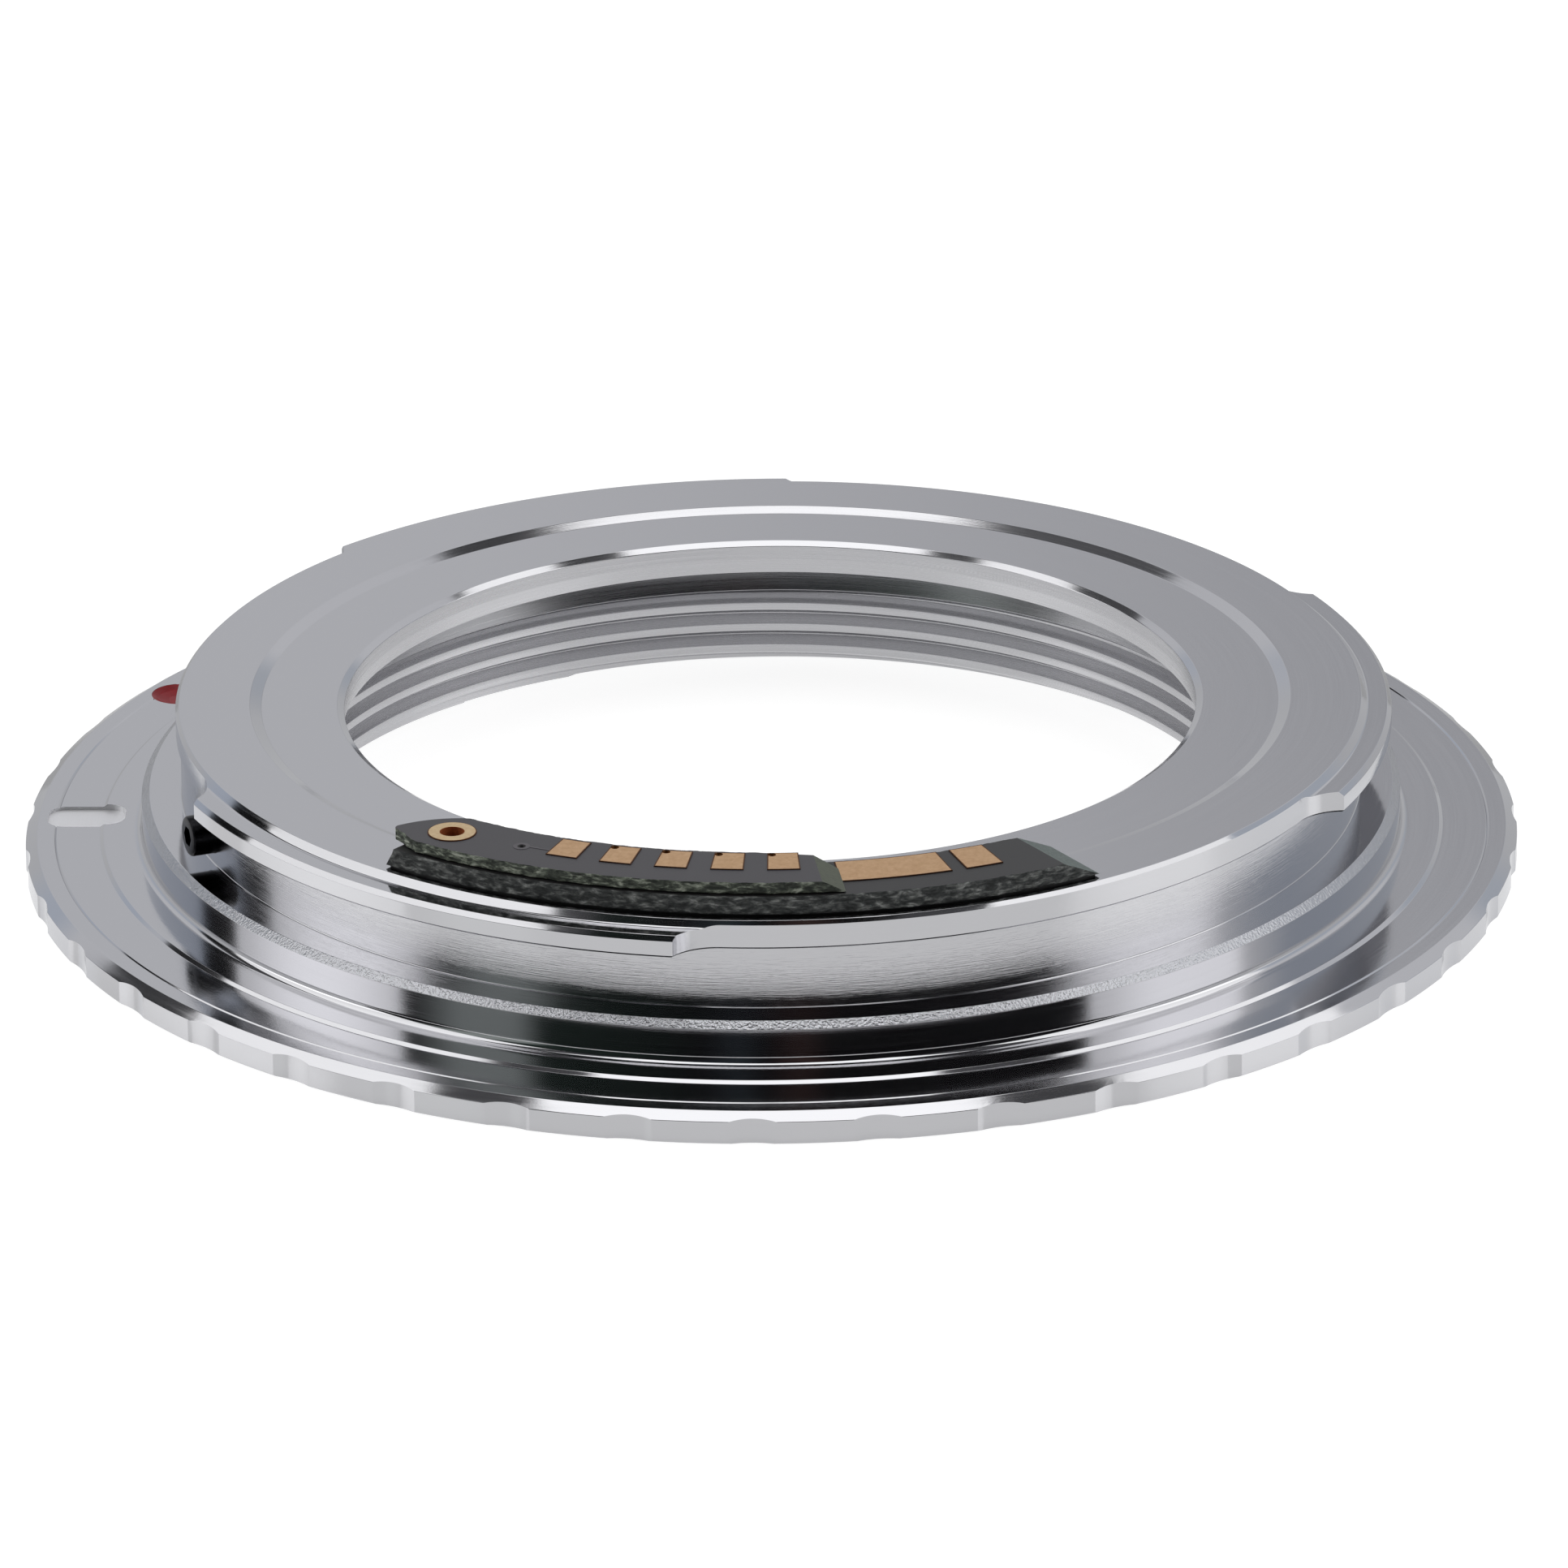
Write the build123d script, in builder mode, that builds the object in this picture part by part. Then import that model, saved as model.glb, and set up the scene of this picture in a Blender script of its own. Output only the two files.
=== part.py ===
# Lens mount adapter: a plated metal ring with a lens thread in its bore and a three-lobe camera bayonet on top.
# Units are millimetres. The optical axis is +Z, with the lens side down and the camera side up.
# The origin is on the axis, in the flat face that the lens seats against. Angles run from +X towards +Y.
import math
import os

from build123d import *

os.makedirs("parts", exist_ok=True)

# Radii of the ring, stepped outwards from the lens thread
thread_radius = 21.0  # major radius of the 42 mm lens thread
lip_reach = 2.5  # the lip over the thread, measured inwards
neck_wall = 4.65
rim_step = 0.18  # the rim between the tabs stands this far proud of the neck
tab_reach = 1.35
spigot_step = 0.4  # from the tabs out to the spigot that centres the ring in the camera
raised_width = 1.7
flange_margin = 3.4  # flange outside the raised seat

# Heights of the ring, stacked upwards from the lens seat
flange_thickness = 1.3
raised_step = 0.12
spigot_height = 1.95
neck_height = 2.7
tab_thickness = 0.95
top_rise = 0.3
lip_thickness = 1.47

# Edges and turned details of the ring
flange_chamfer_width = 0.5
flange_chamfer_height = 0.31
raised_slope = 0.16
spigot_fillet = 0.36
spigot_chamfer_width = 0.35
spigot_chamfer_height = 0.28
tab_chamfer = 0.2
top_cone_width = 0.3
top_edge_inset = 0.16  # from the rim in to the top face's outer edge
outer_land_width = 3.07
land_slope = 0.5
land_drop = 0.2
lip_chamfer = 0.2
lead_in_width = 1.3
lead_in_height = 0.54
groove_inset = 1.3
groove_width = 0.12
groove_depth = 0.05

# Bayonet tabs, as start and end angles at their outer edge, and the end mill that cuts the gaps between them
tab_angles = [(88.5, 135.0), (204.0, 261.1), (335.0, 385.8)]
end_mill_radius = 2.2

# Grip notches round the flange
notch_count = 39
notch_phase = 268.4
notch_cutter_radius = 3.55
notch_depth = 0.165

# Pocket for the camera's lock pin
lock_pocket_angle = 178.2
lock_pocket_inset = 0.9
lock_pocket_length = 3.4
lock_pocket_width = 2.3
lock_pocket_depth = 0.22
lock_pocket_corner = 0.8

# Painted index dot
dot_angle = 149.9
dot_inset = 2.0
dot_radius = 1.22
dimple_depth = 0.25
paint_thickness = 0.05
paint_clearance = 0.01

# Stop screw
screw_angle = 200.7
screw_rise = 1.35  # axis above the ledge of the spigot
screw_radius = 0.88
screw_length = 4.0
screw_reach = 1.12  # how far the screw stands out of the neck
screw_chamfer = 0.15
screw_clearance = 0.02
screw_end_gap = 0.1
socket_across_flats = 0.9
socket_depth = 1.0

# Contact boards, stacked on the top face
adhesive_thickness = 0.1
adhesive_inset = 0.13
lower_board_thickness = 0.8
lower_board_inset = 0.39
lower_board_width = 3.63
lower_board_start = 230.0
lower_board_end = 303.0
lower_start_bevel = 0.42
lower_end_bevel = 1.7
bond_thickness = 0.05
bond_inset = 0.2
upper_board_thickness = 0.5
upper_board_inset = 0.2  # from the lower board's outer edge
upper_board_width = 3.38
upper_board_end = 277.1
upper_board_bevel = 1.0
upper_corner_lead = 10.1  # angle before the end where the inner edge starts to turn outwards
upper_corner_rise = 0.85  # how far it has turned outwards at the end

# Rounded end of the upper board, measured from the eyelet that it goes round
eyelet_angle = 234.9
eyelet_inset = 1.69  # from the upper board's outer edge
eyelet_radius = 1.045
eyelet_hole_radius = 0.525
eyelet_wall = 0.1
barrel_clearance = 0.01
end_lead = 2.45  # the tip stands this far beyond the eyelet, along the board
end_tip_inset = 0.69
end_tip_radius = 0.3
end_shoulder_angle = 1.6  # where the slanted end leaves the outer edge, beyond the eyelet
end_waist = 1.7  # the end's curved edge passes the eyelet at this distance
end_waist_turn = 250.0  # and in this direction, turned from straight outwards
end_inner_angle = 0.6  # where that curve joins the inner edge, beyond the eyelet

# Contact pads and plated holes
pad_thickness = 0.04
pad_count = 5
first_pad_angle = 248.1
pad_pitch = 5.78
pad_width = 1.35
pad_length = 1.79
pad_edge_gap = 0.2  # from the board's inner edge
via_radius = 0.175
via_gap = 0.2  # from the pad's inner edge to the hole's centre
via_offset = 0.46  # along the board from the pad's middle
lone_via_angle = 243.2
lone_via_inset = 1.79
wide_pad_start = 276.9
wide_pad_end = 288.5
wide_pad_length = 2.14
small_pad_start = 290.0
small_pad_end = 294.0

# Controller chip under the upper board
chip_angle = 255.0
chip_length = 3.0
chip_width = 2.0
chip_height = 0.7
chip_gap = 0.15

# Radii and heights that follow from the sizes above
lip_radius = thread_radius - lip_reach
neck_radius = thread_radius + neck_wall
rim_radius = neck_radius + rim_step
tab_radius = neck_radius + tab_reach
spigot_radius = tab_radius + spigot_step
raised_radius = spigot_radius + raised_width
flange_radius = raised_radius + flange_margin
top_radius = rim_radius - top_edge_inset
land_radius = top_radius - outer_land_width
groove_radius = flange_radius - groove_inset
raised_z = flange_thickness + raised_step
ledge_z = flange_thickness + spigot_height
tab_bottom_z = ledge_z + neck_height
tab_top_z = tab_bottom_z + tab_thickness
top_z = tab_top_z + top_rise
inner_land_z = top_z - land_drop
lip_bottom_z = inner_land_z - lip_thickness
lower_board_z = top_z + adhesive_thickness
bond_z = lower_board_z + lower_board_thickness
upper_board_z = bond_z + bond_thickness
upper_top_z = upper_board_z + upper_board_thickness
lower_outer = top_radius - lower_board_inset
lower_inner = lower_outer - lower_board_width
upper_outer = lower_outer - upper_board_inset
upper_inner = upper_outer - upper_board_width
eyelet_center_radius = upper_outer - eyelet_inset
barrel_radius = eyelet_hole_radius + eyelet_wall
chip_center_radius = (lower_outer + lower_inner) / 2
screw_z = ledge_z + screw_rise


def polar(radius, angle):
    """Point at a radius and an angle in degrees round the axis."""
    return (radius * math.cos(math.radians(angle)), radius * math.sin(math.radians(angle)))


def arc_angle(length, radius):
    """Angle in degrees that a length along an arc of this radius spans."""
    return math.degrees(length / radius)


def sector(inner, outer, start, end):
    """Flat face between two radii and two angles round the axis."""
    with BuildSketch() as face:
        with BuildLine():
            CenterArc((0, 0), outer, start, end - start)
            CenterArc((0, 0), inner, start, end - start)
            Line(polar(inner, start), polar(outer, start))
            Line(polar(inner, end), polar(outer, end))
        make_face()
    return face.sketch


def radial_plane(radius, angle, z):
    """Plane that faces outwards at a point of the ring, with its own X along the ring."""
    x, y = polar(radius, angle)
    normal = Vector(*polar(1.0, angle))
    return Plane(origin=(x, y, z), x_dir=Vector(0, 0, 1).cross(normal), z_dir=normal)


# Ring: the turned profile, with the tabs still a full flange
with BuildPart() as adapter_ring:
    with BuildSketch(Plane.XZ):
        with BuildLine():
            Polyline(
                (thread_radius + lead_in_width, 0),
                (flange_radius, 0),
                (flange_radius, flange_thickness - flange_chamfer_height),
                (flange_radius - flange_chamfer_width, flange_thickness),
                (groove_radius + groove_width / 2, flange_thickness),
                (groove_radius, flange_thickness - groove_depth),
                (groove_radius - groove_width / 2, flange_thickness),
                (raised_radius + raised_slope, flange_thickness),
                (raised_radius, raised_z),
                (spigot_radius, raised_z),
                (spigot_radius, ledge_z - spigot_chamfer_height),
                (spigot_radius - spigot_chamfer_width, ledge_z),
                (neck_radius, ledge_z),
                (neck_radius, tab_bottom_z),
                (tab_radius, tab_bottom_z),
                (tab_radius, tab_top_z - tab_chamfer),
                (tab_radius - tab_chamfer, tab_top_z),
                (top_radius + top_cone_width, tab_top_z),
                (top_radius, top_z),
                (land_radius, top_z),
                (land_radius - land_slope, inner_land_z),
                (lip_radius + lip_chamfer, inner_land_z),
                (lip_radius, inner_land_z - lip_chamfer),
                (lip_radius, lip_bottom_z),
                (thread_radius, lip_bottom_z),
                (thread_radius, lead_in_height),
                close=True,
            )
        make_face()
        fillet(vertices().sort_by_distance((spigot_radius, raised_z))[0], spigot_fillet)
    revolve(axis=Axis.Z)

    # Gaps between the tabs, cut by an end mill that runs round the rim and leaves hollow tab ends
    mill_path_radius = rim_radius + end_mill_radius
    # the mill's centre stops where its edge crosses the tab's outer edge at the tab's angle
    side_squares = mill_path_radius**2 + tab_radius**2 - end_mill_radius**2
    mill_lead = math.degrees(math.acos(side_squares / (2 * mill_path_radius * tab_radius)))
    next_tabs = tab_angles[1:] + [(tab_angles[0][0] + 360, tab_angles[0][1] + 360)]
    with BuildSketch(Plane.XY.offset(tab_bottom_z)):
        for (_, tab_end), (next_start, _) in zip(tab_angles, next_tabs):
            gap_start = tab_end + mill_lead
            gap_size = next_start - mill_lead - gap_start
            with BuildLine(mode=Mode.PRIVATE) as mill_path:
                CenterArc((0, 0), mill_path_radius, gap_start, gap_size)
            SlotArc(mill_path.line.edge(), 2 * end_mill_radius)
    extrude(amount=top_z - tab_bottom_z, mode=Mode.SUBTRACT)

    # Grip notches
    with BuildSketch():
        with PolarLocations(flange_radius - notch_depth + notch_cutter_radius, notch_count, notch_phase):
            Circle(notch_cutter_radius)
    extrude(amount=flange_thickness, mode=Mode.SUBTRACT)

    # Pocket for the lock pin
    pocket_radius = flange_radius - lock_pocket_inset - lock_pocket_length / 2
    with BuildSketch(Plane.XY.offset(flange_thickness - lock_pocket_depth)):
        with Locations(polar(pocket_radius, lock_pocket_angle)):
            RectangleRounded(
                lock_pocket_length, lock_pocket_width, lock_pocket_corner, rotation=lock_pocket_angle
            )
    extrude(amount=lock_pocket_depth + raised_step, mode=Mode.SUBTRACT)

    # Dimple for the index dot
    with BuildSketch(Plane.XY.offset(flange_thickness)):
        with Locations(polar(flange_radius - dot_inset, dot_angle)):
            Circle(dot_radius)
    extrude(amount=-dimple_depth, mode=Mode.SUBTRACT)

    # Tapped hole for the stop screw, from the neck inwards
    hole_depth = screw_length - screw_reach + screw_end_gap
    with BuildSketch(radial_plane(neck_radius - hole_depth, screw_angle, screw_z)):
        Circle(screw_radius + screw_clearance)
    extrude(amount=hole_depth + screw_reach, mode=Mode.SUBTRACT)
adapter_ring.part.label = "adapter_ring"
export_step(adapter_ring.part, "parts/adapter_ring.step")

# Stop screw with its hexagon socket facing outwards
with BuildPart() as stop_screw:
    with BuildSketch(radial_plane(neck_radius + screw_reach - screw_length, screw_angle, screw_z)):
        Circle(screw_radius)
    extrude(amount=screw_length)
    chamfer(stop_screw.edges().filter_by(GeomType.CIRCLE), screw_chamfer)
    with BuildSketch(radial_plane(neck_radius + screw_reach, screw_angle, screw_z)):
        RegularPolygon(socket_across_flats / 2, 6, major_radius=False)
    extrude(amount=-socket_depth, mode=Mode.SUBTRACT)
stop_screw.part.label = "stop_screw"
export_step(stop_screw.part, "parts/stop_screw.step")

# Paint in the dimple
with BuildPart() as index_dot:
    with BuildSketch(Plane.XY.offset(flange_thickness - dimple_depth)):
        with Locations(polar(flange_radius - dot_inset, dot_angle)):
            Circle(dot_radius - paint_clearance)
    extrude(amount=paint_thickness)
index_dot.part.label = "index_dot"
export_step(index_dot.part, "parts/index_dot.step")

# Glue between the top face's outer land and the lower board
end_inset_angle = arc_angle(adhesive_inset, lower_outer)
with BuildPart() as board_adhesive:
    with BuildSketch(Plane.XY.offset(top_z)):
        add(
            sector(
                land_radius + adhesive_inset,
                lower_outer - adhesive_inset,
                lower_board_start + end_inset_angle,
                lower_board_end - end_inset_angle,
            )
        )
    extrude(amount=adhesive_thickness)
board_adhesive.part.label = "board_adhesive"
export_step(board_adhesive.part, "parts/board_adhesive.step")

# Lower board: a ring sector with bevelled ends and a window for the chip
with BuildPart() as lower_board:
    with BuildSketch(Plane.XY.offset(lower_board_z)):
        add(sector(lower_inner, lower_outer, lower_board_start, lower_board_end))
        with Locations(polar(chip_center_radius, chip_angle)):
            Rectangle(
                chip_width + 2 * chip_gap,
                chip_length + 2 * chip_gap,
                rotation=chip_angle,
                mode=Mode.SUBTRACT,
            )
    extrude(amount=lower_board_thickness)
    for end_angle, run in ((lower_board_start, lower_start_bevel), (lower_board_end, -lower_end_bevel)):
        with BuildSketch(radial_plane(lower_inner, end_angle, lower_board_z)):
            with BuildLine():
                Polyline((0, 0), (0, lower_board_thickness), (run, lower_board_thickness), close=True)
            make_face()
        extrude(amount=lower_board_width, both=True, mode=Mode.SUBTRACT)
lower_board.part.label = "lower_board"
export_step(lower_board.part, "parts/lower_board.step")

# Film between the boards, open round the chip
with BuildPart() as bond_film:
    with BuildSketch(Plane.XY.offset(bond_z)):
        add(
            sector(
                upper_inner + bond_inset,
                upper_outer - bond_inset,
                eyelet_angle,
                upper_board_end - arc_angle(bond_inset, upper_outer),
            )
        )
        with Locations(polar(chip_center_radius, chip_angle)):
            Rectangle(
                chip_width + 2 * chip_gap,
                chip_length + 2 * chip_gap,
                rotation=chip_angle,
                mode=Mode.SUBTRACT,
            )
    extrude(amount=bond_thickness)
bond_film.part.label = "bond_film"
export_step(bond_film.part, "parts/bond_film.step")

# Controller chip, against the underside of the upper board
with BuildPart() as controller_chip:
    with BuildSketch(Plane.XY.offset(upper_board_z)):
        with Locations(polar(chip_center_radius, chip_angle)):
            Rectangle(chip_width, chip_length, rotation=chip_angle)
    extrude(amount=-chip_height)
controller_chip.part.label = "controller_chip"
export_step(controller_chip.part, "parts/controller_chip.step")

# Upper board: its left end goes round the eyelet, its right end is bevelled
pad_angles = [first_pad_angle + pad_pitch * i for i in range(pad_count)]
pad_inner = upper_inner + pad_edge_gap
pad_outer = pad_inner + pad_length
via_radius_on_board = pad_inner + via_gap
via_angles = [angle - arc_angle(via_offset, via_radius_on_board) for angle in pad_angles[1:]]
tip = polar(upper_outer - end_tip_inset, eyelet_angle - arc_angle(end_lead, upper_outer - end_tip_inset))
shoulder_angle = eyelet_angle - end_shoulder_angle
inner_start_angle = eyelet_angle - end_inner_angle
corner_angle = upper_board_end - upper_corner_lead
corner_end = polar(upper_inner + upper_corner_rise, upper_board_end)
eyelet_center = Vector(*polar(eyelet_center_radius, eyelet_angle))
waist = eyelet_center + Vector(*polar(end_waist, eyelet_angle + end_waist_turn))
with BuildPart() as upper_board:
    with BuildSketch(Plane.XY.offset(upper_board_z)):
        with BuildLine():
            CenterArc((0, 0), upper_outer, shoulder_angle, upper_board_end - shoulder_angle)
            Line(polar(upper_outer, upper_board_end), corner_end)
            TangentArc(polar(upper_inner, corner_angle), corner_end, tangent=polar(1.0, corner_angle + 90))
            CenterArc((0, 0), upper_inner, inner_start_angle, corner_angle - inner_start_angle)
            ThreePointArc(polar(upper_inner, inner_start_angle), waist, tip)
            Line(tip, polar(upper_outer, shoulder_angle))
        make_face()
        fillet(vertices().sort_by_distance(tip)[0], end_tip_radius)
        with Locations(eyelet_center):
            Circle(barrel_radius + barrel_clearance, mode=Mode.SUBTRACT)
        with Locations([polar(via_radius_on_board, angle) for angle in via_angles]):
            Circle(via_radius, mode=Mode.SUBTRACT)
        with Locations(polar(upper_outer - lone_via_inset, lone_via_angle)):
            Circle(via_radius, mode=Mode.SUBTRACT)
    extrude(amount=upper_board_thickness)
    with BuildSketch(radial_plane(upper_inner, upper_board_end, upper_board_z)):
        with BuildLine():
            Polyline((0, 0), (0, upper_board_thickness), (-upper_board_bevel, upper_board_thickness), close=True)
        make_face()
    extrude(amount=upper_board_width, both=True, mode=Mode.SUBTRACT)
upper_board.part.label = "upper_board"
export_step(upper_board.part, "parts/upper_board.step")

# Eyelet: a plated barrel through the upper board with a flat ring on top
with BuildPart() as eyelet:
    with BuildSketch(Plane.XY.offset(upper_board_z)):
        with Locations(eyelet_center):
            Circle(barrel_radius)
    extrude(amount=upper_board_thickness)
    with BuildSketch(Plane.XY.offset(upper_top_z)):
        with Locations(eyelet_center):
            Circle(eyelet_radius)
    extrude(amount=pad_thickness)
    with BuildSketch(Plane.XY.offset(upper_board_z)):
        with Locations(eyelet_center):
            Circle(eyelet_hole_radius)
    extrude(amount=upper_board_thickness + pad_thickness, mode=Mode.SUBTRACT)
eyelet.part.label = "eyelet"
export_step(eyelet.part, "parts/eyelet.step")

# Five gold pads on the upper board, all but the first with a plated hole in a corner
for number, pad_angle in enumerate(pad_angles, start=1):
    half_angle = arc_angle(pad_width / 2, (pad_inner + pad_outer) / 2)
    with BuildPart() as contact_pad:
        with BuildSketch(Plane.XY.offset(upper_top_z)):
            add(sector(pad_inner, pad_outer, pad_angle - half_angle, pad_angle + half_angle))
            with Locations([polar(via_radius_on_board, angle) for angle in via_angles]):
                Circle(via_radius, mode=Mode.SUBTRACT)
        extrude(amount=pad_thickness)
    contact_pad.part.label = f"contact_pad_{number}"
    export_step(contact_pad.part, f"parts/contact_pad_{number}.step")

# Two gold pads on the bare end of the lower board
end_pads = {"wide_contact_pad": (wide_pad_start, wide_pad_end), "small_contact_pad": (small_pad_start, small_pad_end)}
end_pad_inner = lower_inner + pad_edge_gap / 2
for name, (start, end) in end_pads.items():
    with BuildPart() as end_pad:
        with BuildSketch(Plane.XY.offset(bond_z)):
            add(sector(end_pad_inner, end_pad_inner + wide_pad_length, start, end))
        extrude(amount=pad_thickness)
    end_pad.part.label = name
    export_step(end_pad.part, f"parts/{name}.step")
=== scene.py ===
# %% [markdown]
# # A lens mount adapter
# The object is a flat chrome-plated ring. A lens screws into its bore from below, a camera's bayonet
# takes hold of the three tabs on top, and a small contact board is glued to its upper face. The measured
# model is loaded first as a fixed frame. Everything made here goes where that frame says, in metres, with
# the optical axis on Z.

# %% Load the frame
import math

import bpy
from mathutils import Matrix, Vector, noise


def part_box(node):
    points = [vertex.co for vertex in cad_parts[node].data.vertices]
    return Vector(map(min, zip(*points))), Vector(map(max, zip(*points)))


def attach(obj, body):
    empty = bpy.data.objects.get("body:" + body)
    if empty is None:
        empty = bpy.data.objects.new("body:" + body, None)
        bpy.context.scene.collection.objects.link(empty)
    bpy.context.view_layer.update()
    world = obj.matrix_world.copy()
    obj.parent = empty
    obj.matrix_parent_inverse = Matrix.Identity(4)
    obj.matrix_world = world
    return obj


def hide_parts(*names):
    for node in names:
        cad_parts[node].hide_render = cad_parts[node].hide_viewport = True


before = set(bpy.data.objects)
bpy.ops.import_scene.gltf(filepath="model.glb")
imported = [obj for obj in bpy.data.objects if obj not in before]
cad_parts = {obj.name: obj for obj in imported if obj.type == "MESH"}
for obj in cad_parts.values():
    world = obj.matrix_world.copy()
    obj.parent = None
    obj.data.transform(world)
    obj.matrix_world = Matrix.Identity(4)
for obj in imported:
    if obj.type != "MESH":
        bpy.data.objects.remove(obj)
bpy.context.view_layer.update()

MM = 0.001
ring_low, ring_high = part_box("adapter_ring")
bpy.ops.object.select_all(action="DESELECT")
print("ring", [round(side / MM, 2) for side in Vector(ring_high) - Vector(ring_low)], "mm")

# %% [markdown]
# ## Camera
# The photograph was taken with a long lens from a little over half a metre, about 22 degrees above the
# table. A long lens keeps the ring's ellipses nearly parallel, so the distance and focal length matter as
# much as the angle. The camera aims a little below the ring's upper face, and it is rolled by half a
# degree as it was on the tripod.

# %% Place the camera
view_elevation = math.radians(21.79)
view_roll = math.radians(-0.585)
view_distance = 597 * MM
aim_right, aim_below = 0.57 * MM, 4.0 * MM
top_centre = Vector((0, 0, ring_high[2]))
view_back = Vector((0, -math.cos(view_elevation), math.sin(view_elevation)))
view_up = Vector((0, math.sin(view_elevation), math.cos(view_elevation)))
aim = top_centre + Vector((aim_right, 0, 0)) - view_up * aim_below
bpy.ops.object.camera_add(location=top_centre + view_back * view_distance)
camera = bpy.context.object
camera.name = "camera"
looking = (aim - camera.location).to_track_quat("-Z", "Y").to_matrix()
camera.rotation_euler = (looking @ Matrix.Rotation(view_roll, 3, "Z")).to_euler()
camera.data.sensor_width = 36
camera.data.lens = 315.4
camera.data.clip_start = 0.01
camera.data.clip_end = 20
bpy.context.scene.camera = camera
bpy.context.scene.view_settings.view_transform = "Standard"
print("camera at", [round(c, 4) for c in camera.location])

# %% [markdown]
# ## Two helpers for colours and nodes
# Colours are picked as sRGB hex values, the way a colour picker shows them, and Blender wants them
# linear. One function does that. A second one adds a shader node, sets its fixed sockets and properties,
# and links its other sockets.

# %% Colour and node helpers
def srgb(code):
    """Linear RGBA of a hex colour such as "#C3C3C6"."""
    channels = [int(code[i:i + 2], 16) / 255 for i in (1, 3, 5)]
    return [c / 12.92 if c <= 0.04045 else ((c + 0.055) / 1.055) ** 2.4 for c in channels] + [1.0]


def add_node(tree, kind, values=None, links=None, stops=(), **settings):
    """Adds a node. Values are fixed sockets, links are other nodes' sockets, stops are a ramp's places and
    colours, and settings are the node's own properties."""
    made = tree.nodes.new(kind)
    for name, setting in settings.items():
        setattr(made, name, setting)
    for socket, value in (values or {}).items():
        made.inputs[socket].default_value = value
    for socket, source in (links or {}).items():
        tree.links.new(source, made.inputs[socket])
    for _ in stops[2:]:
        made.color_ramp.elements.new(0.5)
    for element, (place, colour) in zip(made.color_ramp.elements if stops else (), stops):
        element.position = place
        element.color = srgb(colour)
    return made


print("chrome grey is", [round(c, 3) for c in srgb("#C3C3C6")])

# %% [markdown]
# ## A light tent
# Bright metal shows its surroundings more than itself, so the surroundings are the most important
# material here. The ring was lit in a light tent: white cloth above and at both sides, a grey card at the
# back, and an open dark front where the camera stands. The world shader draws that tent from the
# direction alone. Area lamps would do it too, but the tent's soft grey back and the dark slot at its edge
# are easier to draw as directions.

# %% Tones of the tent's cards
tent = bpy.data.worlds.new("light_tent")
bpy.context.scene.world = tent
tent.use_nodes = True
tree = tent.node_tree
direction = add_node(tree, "ShaderNodeTexCoord")
split = add_node(tree, "ShaderNodeSeparateXYZ", links={0: direction.outputs["Generated"]})
across = add_node(tree, "ShaderNodeMapRange", {"From Min": -1.0, "From Max": 1.0},
                  {"Value": split.outputs["X"]})
# each card's tones from left to right, as pairs of a place from -1 to 1 and a colour
card_stops = {
    "side_cloth": [(-0.93, "#FDFDFD"), (-0.90, "#E0E0E0"), (-0.86, "#BEBEBE"), (-0.7, "#C6C6C6"),
                   (0.0, "#DBDBDB"), (0.7, "#CACACA"), (0.82, "#C4C4C4"), (0.88, "#EBEBEB"),
                   (0.91, "#EDEDED"), (0.95, "#DEDEDE")],
    "dark_gap": [(-1.0, "#505052"), (1.0, "#505052")],
    "roof_box": [(-1.0, "#FFFFFF"), (1.0, "#FFFFFF")],
    "card_slot": [(-0.7, "#161617"), (-0.52, "#4E4E50"), (-0.25, "#646466"), (0.24, "#4C4C4E"),
                  (0.45, "#3C3C3E"), (0.75, "#C3CAD4")],
    "back_card": [(-0.9, "#BDC6D4"), (-0.5, "#C2C9D4"), (-0.02, "#D4D5D8"), (0.05, "#B2B3B7"),
                  (0.14, "#B2B3B7"), (0.25, "#BFC4CB"), (0.8, "#C3CAD4"), (0.88, "#C3CAD4"),
                  (0.92, "#FFFFFF")],
    "card_top": [(-0.9, "#BDC6D4"), (-0.75, "#C4CAD4"), (-0.55, "#DBDCDF"), (0.6, "#E0E1E4"),
                 (0.75, "#C3CAD4"), (0.88, "#C3CAD4"), (0.92, "#FFFFFF")],
    "low_wall": [(-1.0, "#CCCDCF"), (1.0, "#CCCDCF")],
    "open_front": [(-0.86, "#161618"), (-0.79, "#9CA29F"), (-0.68, "#9CA29F"), (-0.62, "#26302C"),
                   (-0.30, "#1B211F"), (-0.20, "#18181A"), (-0.10, "#2E3438"), (-0.02, "#18181A"),
                   (0.08, "#3A2C2A"), (0.16, "#161617"), (0.80, "#18181A")],
}
cards = {}
for card, stops in card_stops.items():
    places = [((place + 1) / 2, colour) for place, colour in stops]
    ramp = add_node(tree, "ShaderNodeValToRGB", links={"Fac": across.outputs[0]}, stops=places)
    cards[card] = ramp.outputs["Color"]
# the back card turns into its paler upper part at this height
fade = add_node(tree, "ShaderNodeMapRange", {"From Min": 0.385, "From Max": 0.45},
                {"Value": split.outputs["Z"]})
faded = add_node(tree, "ShaderNodeMix", data_type="RGBA",
                 links={"Factor": fade.outputs[0], "A": cards["back_card"], "B": cards["card_top"]})
cards["back_card"] = faded.outputs["Result"]
print("cards of the tent", len(cards))

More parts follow.
